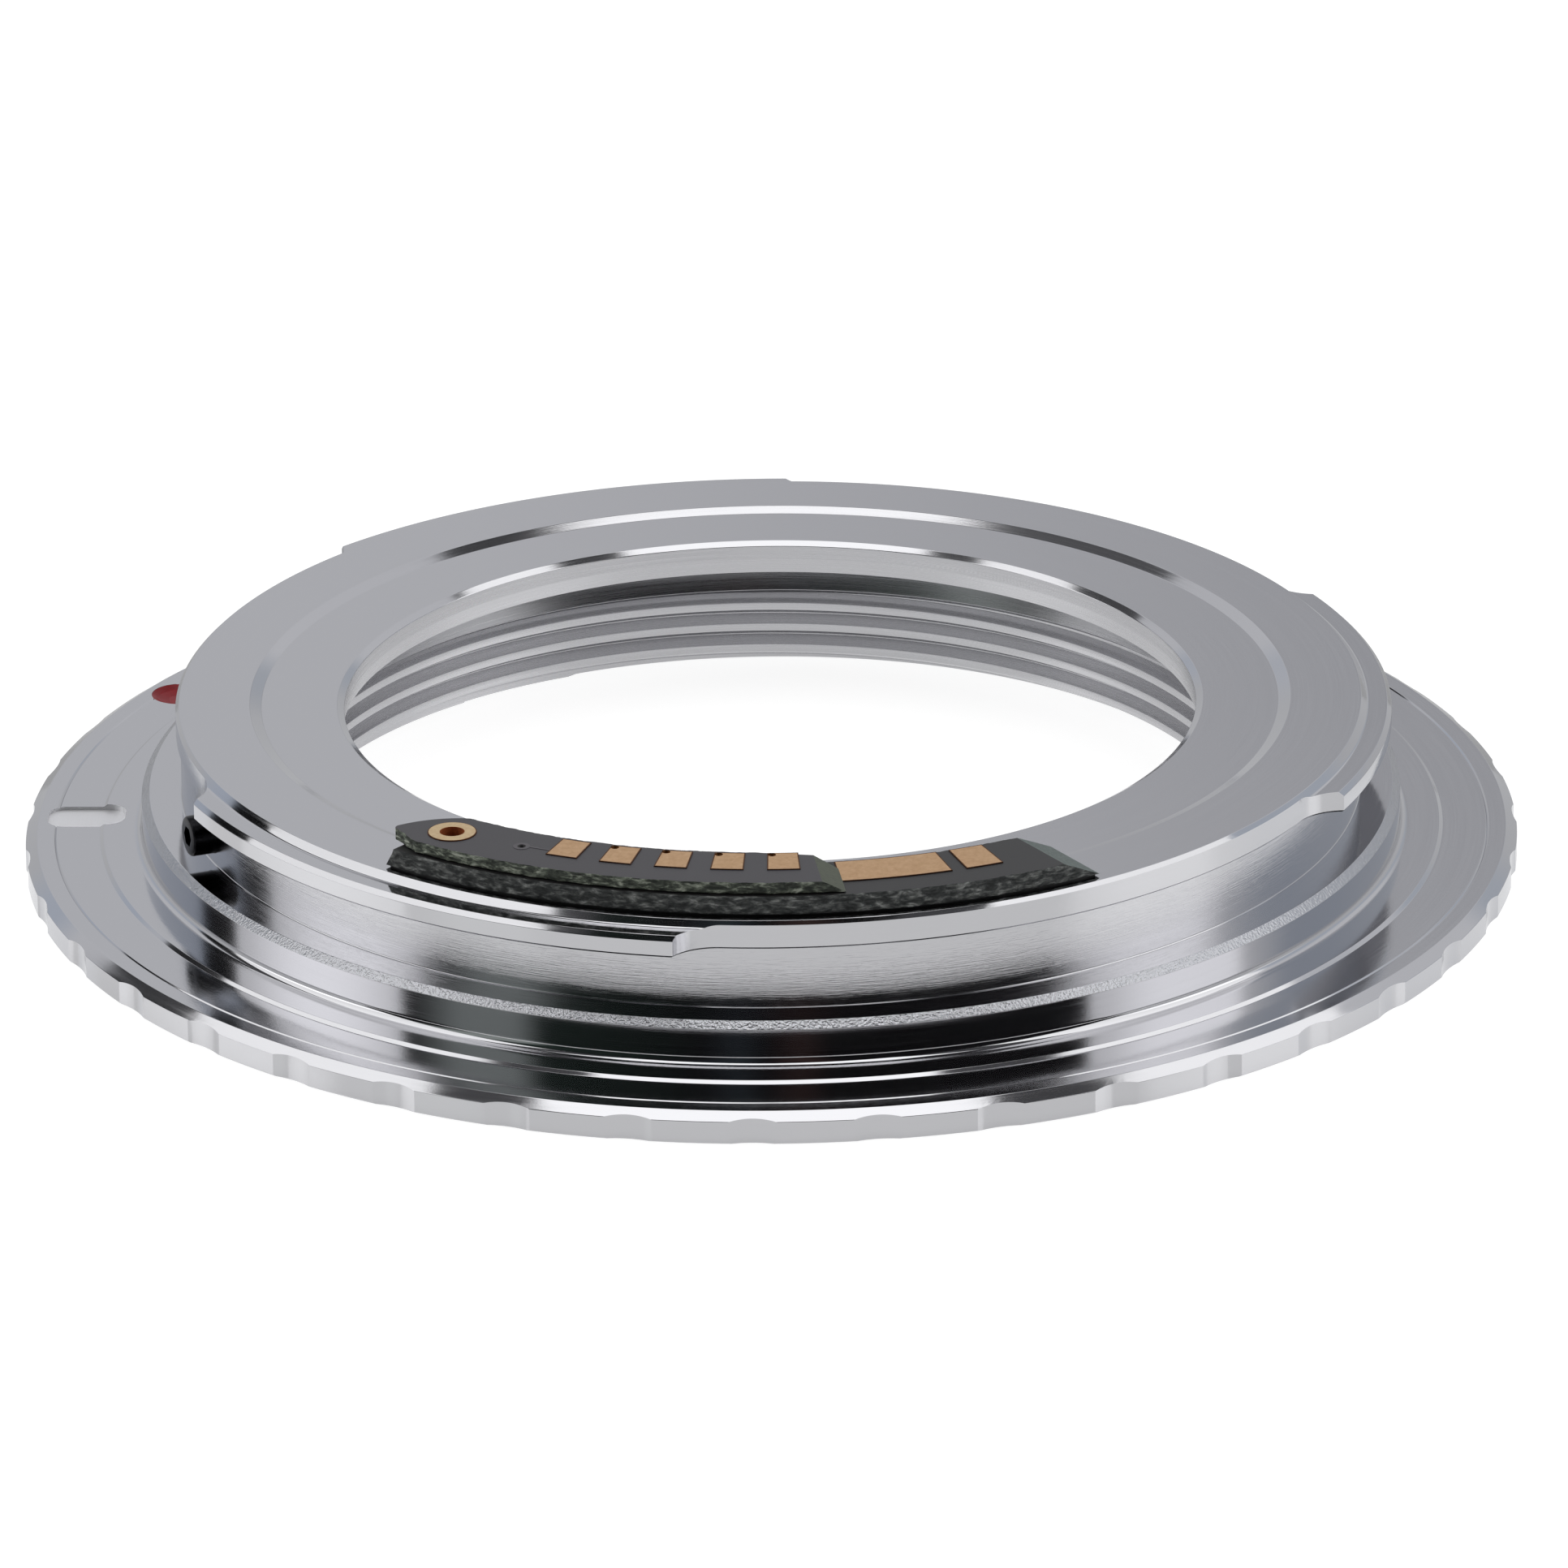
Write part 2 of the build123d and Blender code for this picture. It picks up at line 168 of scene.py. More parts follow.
# %% Hang the cards one over another
# card, strength, the plane that bounds it, the slope of its edge with the distance sideways, its soft edge
layers = [
    ("dark_gap", 1.0, (0, -0.22, 0.48), -1, 0, 0.02),
    ("roof_box", 1.7, (-0.05, 0, 0.285), -1, 0, 0.02),
    ("card_slot", 1.0, (0, 1.92, -1), -0.42, 0, 0.03),
    ("back_card", 1.0, (0.35, 1.15, -1), 0, 0, 0.03),
    ("low_wall", 1.0, (0, 0, -1), 0, -0.33, -0.24),
    ("open_front", 1.0, (-0.122, -1, -0.22), -0.352, 0, 0.02),
]
cloth_strength = 2.4
sideways = add_node(tree, "ShaderNodeMath", links={0: split.outputs["X"]}, operation="ABSOLUTE")
cloth = add_node(tree, "ShaderNodeVectorMath", {"Scale": cloth_strength}, {0: cards["side_cloth"]},
                 operation="SCALE")
surround = cloth.outputs[0]
for card, strength, plane, slope, low, high in layers:
    lit = add_node(tree, "ShaderNodeVectorMath", {"Scale": strength}, {0: cards[card]}, operation="SCALE")
    level = add_node(tree, "ShaderNodeVectorMath", {1: plane}, {0: direction.outputs["Generated"]},
                     operation="DOT_PRODUCT")
    inside = add_node(tree, "ShaderNodeMath", {1: slope},
                      {0: sideways.outputs[0], 2: level.outputs["Value"]}, operation="MULTIPLY_ADD")
    mask = add_node(tree, "ShaderNodeMapRange", {"From Min": low, "From Max": high},
                    {"Value": inside.outputs[0]})
    layer = add_node(tree, "ShaderNodeMix", data_type="RGBA",
                     links={"Factor": mask.outputs[0], "A": surround, "B": lit.outputs[0]})
    surround = layer.outputs["Result"]
tree.links.new(surround, tree.nodes["Background"].inputs["Color"])
print("tent layers", len(layers))

# %% [markdown]
# ## Floor
# The ring lies on white paper. The paper's own colour is a plain off-white for the light that it throws back,
# and where the camera or the metal looks at it directly it is drawn a little lighter, so that the background
# is white while the ring's soft contact shadow stays. It is coated paper, so the metal also sees the tent's
# bright sides mirrored faintly in it. What the metal sees of the paper is also a painted glow: a painted pool
# of light round the ring that fades into painted shade towards the back and the sides.

# %% Lay the paper floor
drawn_share, glaze_share = 0.6, 0.19
# the paper's glow: white near the ring, and for the metal a painted pool of light that fades into painted
# shade between these two distances
near_level, painted_shade_level = 1.45, 0.35
near_edge, far_edge = 36 * MM, 52 * MM
bpy.ops.mesh.primitive_plane_add(size=8)
floor = bpy.context.object
floor.name = "paper_floor"
paper = bpy.data.materials.new("white_background_paper")
paper.use_nodes = True
tree = paper.node_tree
tree.nodes.remove(tree.nodes["Principled BSDF"])
ray = add_node(tree, "ShaderNodeLightPath")
seen = add_node(tree, "ShaderNodeMath", operation="MAXIMUM",
                links={0: ray.outputs["Is Camera Ray"], 1: ray.outputs["Is Glossy Ray"]})
looked_at = add_node(tree, "ShaderNodeMath", operation="MAXIMUM",
                     links={0: seen.outputs[0], 1: ray.outputs["Is Transmission Ray"]})
share = add_node(tree, "ShaderNodeMath", {1: drawn_share}, {0: looked_at.outputs[0]}, operation="MULTIPLY")
place = add_node(tree, "ShaderNodeTexCoord")
parts = add_node(tree, "ShaderNodeSeparateXYZ", links={0: place.outputs["Object"]})
aside = add_node(tree, "ShaderNodeMath", links={0: parts.outputs["X"]}, operation="ABSOLUTE")
spread = add_node(tree, "ShaderNodeMath", links={0: aside.outputs[0], 1: parts.outputs["Y"]}, operation="ADD")
# painted light: the glow that the metal sees is brightest round the ring and fades into painted shade towards
# the back and the sides
painted_falloff = {"From Min": near_edge, "From Max": far_edge, "To Min": near_level, "To Max": painted_shade_level}
painted_glow = add_node(tree, "ShaderNodeMapRange", painted_falloff, {"Value": spread.outputs[0]})
level = add_node(tree, "ShaderNodeMix", {"B": near_level}, data_type="FLOAT",
                 links={"Factor": ray.outputs["Is Camera Ray"], "A": painted_glow.outputs[0]})
sheet = add_node(tree, "ShaderNodeBsdfDiffuse", {"Color": (0.8, 0.8, 0.8, 1)})
white = add_node(tree, "ShaderNodeEmission", {"Color": (1, 1, 1, 1)}, {"Strength": level.outputs["Result"]})
blend = add_node(tree, "ShaderNodeMixShader",
                 links={0: share.outputs[0], 1: sheet.outputs[0], 2: white.outputs[0]})
gloss = add_node(tree, "ShaderNodeMath", {1: glaze_share}, {0: ray.outputs["Is Glossy Ray"]},
                 operation="MULTIPLY")
glaze = add_node(tree, "ShaderNodeBsdfAnisotropic", {"Color": (0.9, 0.9, 0.9, 1), "Roughness": 0.08})
coated = add_node(tree, "ShaderNodeMixShader",
                  links={0: gloss.outputs[0], 1: blend.outputs[0], 2: glaze.outputs[0]})
tree.links.new(coated.outputs[0], tree.nodes["Material Output"].inputs["Surface"])
floor.data.materials.append(paper)
print("floor", floor.name)

# %% [markdown]
# ## Chrome plate
# The ring is turned steel or brass under bright chrome. Chromium reflects a little over half of the
# light, which is why it looks grey beside silver. What differs from face to face is how the metal was cut
# before plating: the walls keep fine lathe lines round the axis, the upper faces have an even fine grain,
# milled faces are satin. Each finish is the same chrome with its own roughness and bump. The lathe lines
# are noise that is long round the ring and very short across it, about 0.06 mm, which is as fine as this
# view can show.

# %% Lathe lines
line_pitch, line_length = 0.06, 9.0
# height counts a little more than radius, or the lines would cancel out on a 45 degree chamfer
height_share = 1.37


def lathe_lines(tree, around):
    """Noise whose lines run round the axis. Around is their length in mm."""
    place = add_node(tree, "ShaderNodeTexCoord")
    flat = add_node(tree, "ShaderNodeVectorMath", {1: (1 / MM, 1 / MM, 0)}, {0: place.outputs["Object"]},
                    operation="MULTIPLY")
    radius = add_node(tree, "ShaderNodeVectorMath", links={0: flat.outputs[0]}, operation="LENGTH")
    upright = add_node(tree, "ShaderNodeSeparateXYZ", links={0: place.outputs["Object"]})
    run = add_node(tree, "ShaderNodeMath", {1: height_share / MM},
                   {0: upright.outputs["Z"], 2: radius.outputs["Value"]}, operation="MULTIPLY_ADD")
    line = add_node(tree, "ShaderNodeMath", {1: 1 / line_pitch}, {0: run.outputs[0]}, operation="MULTIPLY")
    slow = add_node(tree, "ShaderNodeVectorMath", {"Scale": 1 / around}, {0: flat.outputs[0]},
                    operation="SCALE")
    slow_parts = add_node(tree, "ShaderNodeSeparateXYZ", links={0: slow.outputs[0]})
    where = add_node(tree, "ShaderNodeCombineXYZ", links={
        "X": slow_parts.outputs["X"], "Y": slow_parts.outputs["Y"], "Z": line.outputs[0]})
    return add_node(tree, "ShaderNodeTexNoise", {"Scale": 1.0, "Detail": 3.0, "Roughness": 0.6},
                    {"Vector": where.outputs[0]})


print("lines every", line_pitch, "mm")

# %% Chrome finishes
chrome_colour = srgb("#C3C3C6")


def chrome_finish(name, roughness, line_depth, grain_size, grain_depth, colour=chrome_colour,
                  streak=line_length):
    """Chrome over a turned face: roughness as a low and high value, lines and grain as bump depths in mm."""
    material = bpy.data.materials.new(name)
    material.use_nodes = True
    tree = material.node_tree
    shader = tree.nodes["Principled BSDF"]
    shader.inputs["Base Color"].default_value = colour
    shader.inputs["Metallic"].default_value = 1.0
    lines = lathe_lines(tree, streak)
    low, high = roughness
    worn = add_node(tree, "ShaderNodeMapRange", links={"Value": lines.outputs["Fac"]},
                    values={"From Min": 0.35, "From Max": 0.7, "To Min": low, "To Max": high})
    tree.links.new(worn.outputs[0], shader.inputs["Roughness"])
    place = add_node(tree, "ShaderNodeTexCoord")
    grain = add_node(tree, "ShaderNodeTexNoise", {"Scale": 1 / (grain_size * MM), "Detail": 2.0},
                     {"Vector": place.outputs["Object"]})
    cut = add_node(tree, "ShaderNodeBump", {"Strength": 1.0, "Distance": line_depth * MM},
                   {"Height": lines.outputs["Fac"]})
    both = add_node(tree, "ShaderNodeBump", {"Strength": 1.0, "Distance": grain_depth * MM},
                    {"Height": grain.outputs["Fac"], "Normal": cut.outputs[0]})
    tree.links.new(both.outputs[0], shader.inputs["Normal"])
    return material


chrome_wall = chrome_finish("chrome_on_fine_turning", (0.05, 0.12), 0.0006, 0.12, 0.0002)
chrome_neck = chrome_finish("chrome_on_brushed_turning", (0.12, 0.22), 0.0045, 0.12, 0.0004, streak=1.6)
chrome_bore = chrome_finish("chrome_on_bored_wall", (0.24, 0.36), 0.0015, 0.12, 0.0010)
chrome_face = chrome_finish("chrome_on_lapped_face", (0.09, 0.14), 0.0004, 0.09, 0.0012)
chrome_mill = chrome_finish("chrome_on_end_milling", (0.12, 0.20), 0.0008, 0.10, 0.0008)
chrome_rim = chrome_finish("chrome_on_satin_milling", (0.10, 0.16), 0.0006, 0.10, 0.0008)
chrome_grit = chrome_finish("chrome_on_rough_chamfer", (0.15, 0.30), 0.0010, 0.12, 0.0400, srgb("#B4B5B9"))
chrome_relief = chrome_finish("chrome_on_thread_relief", (0.25, 0.36), 0.0020, 0.12, 0.0010)
chrome_thread = chrome_finish("chrome_on_cut_thread", (0.22, 0.32), 0.0005, 0.12, 0.0004)
chrome_pocket = chrome_finish("chrome_on_rough_milling", (0.50, 0.62), 0.0004, 0.12, 0.0040, srgb("#EDEDEF"))
ring_finishes = [chrome_wall, chrome_neck, chrome_bore, chrome_face, chrome_mill, chrome_rim, chrome_grit,
                 chrome_relief, chrome_pocket]
print("finishes", [m.name for m in ring_finishes])

# %% [markdown]
# ## The ring's outline
# A turned part is one outline spun round its axis. The outline is listed from corner to corner as a lathe
# would cut it, in millimetres from the axis and from the lens seat. On real metal no corner is perfectly
# sharp, and the thin bright lines on this ring are those small rounds catching the white cloth, so each
# corner becomes a short arc.

# %% Radii and heights
flange_radius = ring_high[0] / MM
top_z = ring_high[2] / MM
thread_radius, lip_radius = 21.0, 18.5
neck_radius, rim_radius, tab_radius = 25.65, 25.83, 27.0
spigot_radius, ledge_radius, raised_radius = 27.4, 27.05, 29.1
top_radius, land_radius = 25.67, 22.6
flange_z, raised_z, spigot_edge_z, ledge_z = 1.3, 1.42, 2.97, 3.25
tab_bottom_z, tab_top_z = 5.95, 6.9
inner_land_z, lip_bottom_z = 7.0, 5.53
lead_in_radius, lead_in_z = 22.3, 0.54
flange_chamfer_width, flange_chamfer_height = 0.5, 0.31
groove_radius, groove_half, groove_depth = flange_radius - 1.3, 0.06, 0.05
raised_slope, land_slope, top_cone = 0.16, 0.5, 0.3
edge_break, tab_chamfer = 0.1, 0.2
lip_chamfer_width, lip_chamfer_height = 0.3, 0.17
lip_taper, lip_taper_z = 0.12, 6.2
relief_radius, relief_z, relief_low, relief_high = 20.72, 3.86, 3.66, 4.62
print("flange radius", round(flange_radius, 2), "height", round(top_z, 2))

# %% Corners of the outline
# radius, height and corner round, from the thread's lead-in outwards and over the top back to the bore
ring_corners = [
    (lead_in_radius, 0.0, 0.03),
    (flange_radius, 0.0, 0.05),
    (flange_radius, flange_z - flange_chamfer_height, 0.03),
    (flange_radius - flange_chamfer_width, flange_z, 0.03),
    (groove_radius + groove_half, flange_z, 0.01),
    (groove_radius, flange_z - groove_depth, 0.01),
    (groove_radius - groove_half, flange_z, 0.01),
    (raised_radius + raised_slope, flange_z, 0.02),
    (raised_radius, raised_z, 0.02),
    (spigot_radius, raised_z, 0.36),
    (spigot_radius, spigot_edge_z, 0.03),
    (ledge_radius, ledge_z, 0.03),
    (neck_radius, ledge_z, 0.06),
    (neck_radius, tab_bottom_z, 0.03),
    (tab_radius - edge_break, tab_bottom_z, 0.02),
    (tab_radius, tab_bottom_z + edge_break, 0.02),
    (tab_radius, tab_top_z - tab_chamfer, 0.03),
    (tab_radius - tab_chamfer, tab_top_z, 0.03),
    (top_radius + top_cone, tab_top_z, 0.14),
    (top_radius, top_z, 0.03),
    (land_radius, top_z, 0.04),
    (land_radius - land_slope, inner_land_z, 0.04),
    (lip_radius + lip_chamfer_width, inner_land_z, 0.03),
    (lip_radius, inner_land_z - lip_chamfer_height, 0.03),
    (lip_radius, lip_taper_z, 0.05),
    (lip_radius + lip_taper, lip_bottom_z, 0.05),
    (thread_radius, lip_bottom_z, 0.05),
    (thread_radius, relief_high, 0.03),
    (relief_radius, relief_z, 0.03),
    (thread_radius, relief_low, 0.03),
    (thread_radius, lead_in_z, 0.03),
]


def rounded_outline(corners, step=math.radians(14), hold=0.02):
    """Outline with an arc at each corner, and a holding point on each side that keeps the flats flat."""
    points = []
    for i, (x, z, radius) in enumerate(corners):
        corner = Vector((x, z))
        before = Vector(corners[i - 1][:2]) - corner
        after = Vector(corners[(i + 1) % len(corners)][:2]) - corner
        room = 0.4 * min(before.length, after.length)
        turn = math.pi - before.angle(after)
        reach = min(radius * math.tan(turn / 2), room)
        radius = reach / math.tan(turn / 2)
        before.normalize()
        after.normalize()
        centre = corner + (before + after).normalized() * radius / math.cos(turn / 2)
        way = -1 if before.x * after.y - before.y * after.x > 0 else 1
        arm = corner + before * reach - centre
        count = math.ceil(turn / step)
        if reach + hold < room * 1.2:
            points.append(corner + before * (reach + hold))
        points += [centre + Matrix.Rotation(way * turn * k / count, 2) @ arm for k in range(count + 1)]
        if reach + hold < room * 1.2:
            points.append(corner + after * (reach + hold))
    return [Vector((p.x, 0, p.y)) * MM for p in points]


ring_outline = rounded_outline(ring_corners)
print("outline points", len(ring_outline))

# %% [markdown]
# ## Spinning the ring
# By hand this is one vertex, extruded along the outline point by point, and then Spin round the axis. The
# first vertex is a plane merged to its centre. After a full turn the last profile lies on the first, so
# doubles are merged and the normals are turned outwards again.

# %% Draw an outline and spin it
merge_distance = 0.001 * MM


def draw_wire(name, points):
    """One vertex extruded from point to point. Leaves the new object in edit mode, all selected."""
    bpy.ops.object.select_all(action="DESELECT")
    bpy.ops.mesh.primitive_plane_add(size=MM)
    wire = bpy.context.object
    wire.name = wire.data.name = name
    bpy.ops.object.mode_set(mode="EDIT")
    bpy.ops.mesh.select_mode(type="VERT")
    bpy.ops.mesh.select_all(action="SELECT")
    bpy.ops.mesh.merge(type="CENTER")
    bpy.ops.transform.translate(value=points[0])
    for here, there in zip(points, points[1:]):
        bpy.ops.mesh.extrude_vertices_move(TRANSFORM_OT_translate={"value": there - here})
    bpy.ops.mesh.select_all(action="SELECT")
    return wire


def spin_round(steps, angle, centre=(0, 0, 0)):
    """Spins what is selected counter-clockwise round an upright axis. Blender's own sense is the other."""
    bpy.ops.mesh.spin(steps=steps, angle=-angle, center=centre, axis=(0, 0, 1))


def close_shell():
    """Merges doubles, turns the normals outwards and goes back to object mode."""
    bpy.ops.mesh.select_all(action="SELECT")
    bpy.ops.mesh.remove_doubles(threshold=merge_distance)
    bpy.ops.mesh.normals_make_consistent(inside=False)
    bpy.ops.object.mode_set(mode="OBJECT")


def spun_piece(name, outline, steps, centre=(0, 0, 0)):
    """An outline spun a full turn round Z and then moved to its place."""
    piece = draw_wire(name, outline)
    bpy.ops.mesh.remove_doubles(threshold=merge_distance)
    bpy.ops.mesh.select_all(action="SELECT")
    spin_round(steps, 2 * math.pi)
    bpy.ops.mesh.select_all(action="SELECT")
    bpy.ops.transform.translate(value=centre)
    close_shell()
    return piece


ring = spun_piece("turned_ring", ring_outline + ring_outline[:1], 360)
for finish in ring_finishes:
    ring.data.materials.append(finish)
print("ring faces", len(ring.data.polygons))

# %% [markdown]
# ## Milling the ring
# After turning, the ring goes to a mill. An end mill runs round the rim and leaves three tabs with hollow
# ends, a round cutter bites the grip notches, and smaller tools cut the lock pocket, the index dimple and
# the stop screw's hole. Here each cutter is a mesh of its own, and one Boolean takes them all away. The
# cutters carry the satin milled finish, and the Boolean hands it on to the faces that they leave.

# %% End mill between the tabs
def polar(radius, angle, z=0.0):
    """Point at a radius and height in mm and an angle in degrees round the axis."""
    turn = math.radians(angle)
    return Vector((radius * math.cos(turn), radius * math.sin(turn), z)) * MM


tab_angles = [(88.5, 135.0), (204.0, 261.1), (335.0, 385.8)]
mill_radius, mill_steps = 2.2, 40
mill_path = rim_radius + mill_radius
# the mill's centre stops where its edge crosses the tab's outer edge at the tab's angle
side_squares = mill_path ** 2 + tab_radius ** 2 - mill_radius ** 2
mill_lead = math.degrees(math.acos(side_squares / (2 * mill_path * tab_radius)))
# the mill's foot flares a little, which breaks the lower edges that it leaves
mill_profile = [(rim_radius - edge_break, tab_bottom_z - edge_break), (rim_radius - edge_break, tab_bottom_z),
                (rim_radius, tab_bottom_z + edge_break), (rim_radius, top_z + 1)]
cutters = []
for (_, tab_end), (next_tab, _) in zip(tab_angles, tab_angles[1:] + [(tab_angles[0][0] + 360, 0)]):
    start, end = tab_end + mill_lead, next_tab - mill_lead
    sweep = math.radians(end - start)
    mill = draw_wire("end_mill_path", [polar(radius, start, z) for radius, z in mill_profile])
    spin_round(mill_steps, math.pi, polar(mill_path, start))
    spin_round(round(end - start), sweep)
    spin_round(mill_steps, math.pi, polar(mill_path, end))
    spin_round(round(end - start), -sweep)
    bpy.ops.mesh.select_all(action="SELECT")
    bpy.ops.mesh.remove_doubles(threshold=merge_distance)
    bpy.ops.mesh.fill_holes(sides=0)
    close_shell()
    mill.data.materials.append(chrome_mill)
    cutters.append(mill)
print("gaps between tabs", len(cutters))

# %% Notch cutter, copied round the flange
notch_count, notch_phase, notch_cutter, notch_depth = 39, 268.4, 3.55, 0.165
bpy.ops.object.select_all(action="DESELECT")
notch_place = polar(flange_radius - notch_depth + notch_cutter, notch_phase, flange_z / 2)
bpy.ops.mesh.primitive_cylinder_add(vertices=96, radius=notch_cutter * MM, depth=4 * MM, location=notch_place)
notches = bpy.context.object
bpy.ops.object.transform_apply(location=True, rotation=True, scale=True)
bpy.ops.object.mode_set(mode="EDIT")
bpy.ops.mesh.select_all(action="SELECT")
bpy.ops.mesh.spin(steps=notch_count - 1, dupli=True, angle=2 * math.pi * (notch_count - 1) / notch_count,
                  center=(0, 0, 0), axis=(0, 0, 1))
bpy.ops.object.mode_set(mode="OBJECT")
notches.data.materials.append(chrome_rim)
cutters.append(notches)
print("notch cutter faces", len(notches.data.polygons))

# %% Lock pocket
def select_edges(piece, test):
    """Selects the edges whose two ends pass a test, and leaves the piece in edit mode."""
    bpy.ops.object.mode_set(mode="EDIT")
    bpy.ops.mesh.select_mode(type="EDGE")
    bpy.ops.mesh.select_all(action="DESELECT")
    bpy.ops.object.mode_set(mode="OBJECT")
    for edge in piece.data.edges:
        edge.select = test(*[piece.data.vertices[v].co for v in edge.vertices])
    bpy.ops.object.mode_set(mode="EDIT")


pocket_angle, pocket_inset, pocket_floor = 178.2, 2.6, flange_z - 0.14
pocket_length, pocket_width, pocket_corner, cutter_height = 3.4, 2.3, 0.8, 2.0
pocket_place = polar(flange_radius - pocket_inset, pocket_angle, pocket_floor + cutter_height / 2)
bpy.ops.mesh.primitive_cube_add(size=1, location=pocket_place, rotation=(0, 0, math.radians(pocket_angle)),
                                scale=(pocket_length * MM, pocket_width * MM, cutter_height * MM))
pocket = bpy.context.object
bpy.ops.object.transform_apply(location=True, rotation=True, scale=True)
select_edges(pocket, lambda a, b: abs(a.z - b.z) > MM)
bpy.ops.mesh.bevel(offset=pocket_corner * MM, segments=10, affect="EDGES")
bpy.ops.object.mode_set(mode="OBJECT")
pocket.data.materials.append(chrome_pocket)
cutters.append(pocket)
print("pocket floor at", round(pocket_floor, 2))

# %% Index dimple and screw hole
dot_low, dot_high = [Vector(corner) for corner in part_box("index_dot")]
dot_centre, dot_radius = (dot_low + dot_high) / 2, (dot_high.x - dot_low.x) / 2
dimple_floor = flange_z - 0.3
dimple_place = Vector((dot_centre.x, dot_centre.y, (dimple_floor + cutter_height / 2) * MM))
screw_angle, screw_z, screw_radius, screw_length, screw_reach = 200.7, ledge_z + 1.35, 0.88, 4.0, 1.12
screw_clearance, screw_end_gap, hole_length = 0.02, 0.1, 5.0
screw_turn = (0, math.pi / 2, math.radians(screw_angle))
hole_end = neck_radius - screw_length + screw_reach - screw_end_gap
hole_place = polar(hole_end + hole_length / 2, screw_angle, screw_z)
hole_radius = (screw_radius + screw_clearance) * MM
for sides, radius, length, place, turn in (
        (96, dot_radius, cutter_height, dimple_place, (0, 0, 0)),
        (64, hole_radius, hole_length, hole_place, screw_turn)):
    bpy.ops.mesh.primitive_cylinder_add(vertices=sides, radius=radius, depth=length * MM, location=place,
                                        rotation=turn)
    bpy.ops.object.transform_apply(location=True, rotation=True, scale=True)
    bpy.context.object.data.materials.append(chrome_mill)
    cutters.append(bpy.context.object)
print("cutters", len(cutters))

# %% Take the cutters away
def activate(piece):
    """Selects one piece alone and makes it the active one."""
    bpy.ops.object.select_all(action="DESELECT")
    piece.select_set(True)
    bpy.context.view_layer.objects.active = piece


def cut_away(piece, cutter):
    """Takes a cutter away by a Boolean that hands on the cutter's finish, and deletes the cutter."""
    activate(piece)
    cut = piece.modifiers.new("cut", "BOOLEAN")
    cut.operation = "DIFFERENCE"
    cut.solver = "EXACT"
    cut.material_mode = "TRANSFER"
    cut.object = cutter
    bpy.ops.object.modifier_apply(modifier=cut.name)
    bpy.data.objects.remove(cutter)


activate(cutters[0])
for cutter in cutters:
    cutter.select_set(True)
bpy.ops.object.join()
cut_away(ring, bpy.context.object)
print("ring faces after milling", len(ring.data.polygons))

# %% [markdown]
# ## A finish for every face
# The milled faces have their finish from the cutters. Every other face is known by where it lies and
# which way it looks: the grip's outer wall, the rough chamfer of the spigot, the brushed neck, the bore
# and the thread relief, the flat upper faces, and for all that is left the fine turned wall. Painting
# them by hand would give the same, but a test on radius and height also finds them again when a size
# changes.

# %% Give each face of the ring its finish
relief_from, relief_to = relief_low - 0.06, relief_high + 0.04
for face in ring.data.polygons:
    if ring_finishes[face.material_index] in (chrome_mill, chrome_rim, chrome_pocket):
        continue
    radius, z, up = face.center.xy.length / MM, face.center.z / MM, face.normal.z
    in_bore = radius < thread_radius + 0.02
    if radius > flange_radius - 0.02 - notch_depth and up < 0.2:
        finish = chrome_rim
    elif ledge_radius < radius < spigot_radius and spigot_edge_z < z < ledge_z and up > 0.3:
        finish = chrome_grit
    elif neck_radius - 0.01 < radius < neck_radius + 0.05 and ledge_z < z < tab_bottom_z and abs(up) < 0.2:
        finish = chrome_neck
    elif in_bore and relief_from < z < relief_to:
        finish = chrome_relief
    elif in_bore and z < inner_land_z - 0.05 and up < 0.3:
        finish = chrome_bore
    elif up > 0.98 and (z > inner_land_z - 0.05 or z < raised_z + 0.05):
        finish = chrome_face
    else:
        finish = chrome_wall
    face.material_index = ring_finishes.index(finish)
activate(ring)
bpy.ops.object.shade_smooth_by_angle(angle=math.radians(16))
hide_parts("adapter_ring")
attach(ring, "root")
print("ring triangles", sum(len(face.vertices) - 2 for face in ring.data.polygons))

# %% [markdown]
# ## Lens thread
# The 42 mm thread is a ridge that climbs 1 mm each turn. A short wire with the ridge's 60 degree flanks
# and rounded crest goes through the Screw modifier, and both ends of the ridge are sunk back into the
# wall, as a threading tool runs in and out.

# %% Wind the thread
thread_pitch, thread_turns, turn_steps = 1.0, 4, 240
thread_start, thread_foot = -0.08, 0.55
ridge_root, ridge_crest, sunk_radius = thread_radius + 0.03, 20.46, thread_radius + 0.04
run_in, run_in_length, run_out, run_out_length = 0.75, 0.12, 3.62, 0.2
ridge = [(ridge_root, -0.5), (ridge_crest + 0.06, -0.21), (ridge_crest + 0.01, -0.17), (ridge_crest, -0.1),
         (ridge_crest, 0.1), (ridge_crest + 0.01, 0.17), (ridge_crest + 0.06, 0.21), (ridge_root, 0.5)]
thread = draw_wire("lens_thread", [Vector((r, 0, z + thread_start)) * MM for r, z in ridge])
bpy.ops.object.mode_set(mode="OBJECT")
winding = thread.modifiers.new("winding", "SCREW")
winding.axis = "Z"
winding.screw_offset = thread_pitch * MM
winding.iterations = thread_turns
winding.steps = winding.render_steps = turn_steps
winding.use_merge_vertices = False
bpy.ops.object.modifier_apply(modifier=winding.name)
for vertex in thread.data.vertices:
    middle = thread_start + vertex.index // len(ridge) / turn_steps * thread_pitch
    ends = min(max(min((middle - run_in) / run_in_length, (run_out - middle) / run_out_length), 0), 1)
    height = sunk_radius - vertex.co.xy.length / MM
    if height > 0:
        vertex.co.xy *= (sunk_radius - height * ends) / (vertex.co.xy.length / MM)
bpy.ops.object.mode_set(mode="EDIT")
bpy.ops.mesh.select_all(action="SELECT")
